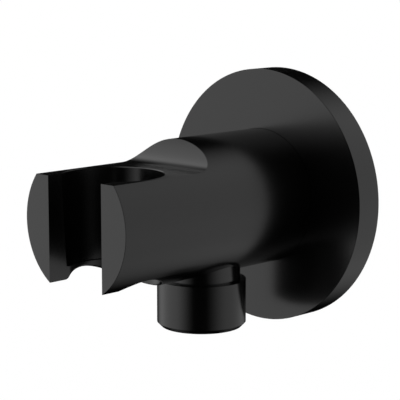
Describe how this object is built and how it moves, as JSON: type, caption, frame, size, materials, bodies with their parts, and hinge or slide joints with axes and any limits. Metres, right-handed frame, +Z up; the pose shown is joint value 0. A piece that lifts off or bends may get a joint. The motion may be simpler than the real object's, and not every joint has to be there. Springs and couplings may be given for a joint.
{
  "type": "shower wall outlet elbow with handset holder",
  "caption": "Round wall outlet elbow in satin black: plain barrel on a disc flange, hose outlet below, and a slotted tapered socket for the handset in its tip.",
  "frame": {"origin": "on the wall plane, where the axis of the inlet thread and barrel crosses it", "axes": "+Z up, +Y into the wall along the inlet, -Y out towards the holder's tip, -Z along the hose outlet"},
  "size_m": [0.061, 0.0786, 0.061],
  "materials": {
    "black_brass": "satin black coating on brass",
    "rubber": "plain black rubber"
  },
  "bodies": {
    "root": {"outlet_body": "black_brass", "wall_flange": "black_brass", "flange_o_ring": "rubber", "wall_seal": "rubber"}
  },
  "joints": []
}
